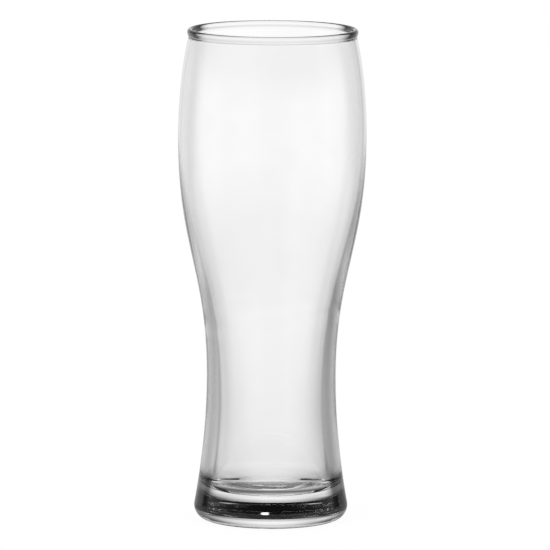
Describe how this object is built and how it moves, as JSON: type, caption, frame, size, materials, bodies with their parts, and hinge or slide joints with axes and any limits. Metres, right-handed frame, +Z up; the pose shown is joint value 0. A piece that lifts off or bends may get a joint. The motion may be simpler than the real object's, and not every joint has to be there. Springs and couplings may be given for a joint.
{
  "type": "pub glass",
  "caption": "Tall clear beer glass with a heavy flared foot, drawn-in waist, wide belly and polished rim, for holding and drinking beer.",
  "frame": {"origin": "on the table, under the middle of the foot", "axes": "+Z up along the glass's own axis, from the foot to the mouth; X and Y level and equal"},
  "size_m": [0.0778, 0.0778, 0.2042],
  "materials": {
    "clear_glass": "polished clear soda-lime glass"
  },
  "bodies": {
    "root": {"foot": "clear_glass", "waist_wall": "clear_glass", "bowl_wall": "clear_glass", "rim_bead": "clear_glass"}
  },
  "joints": []
}
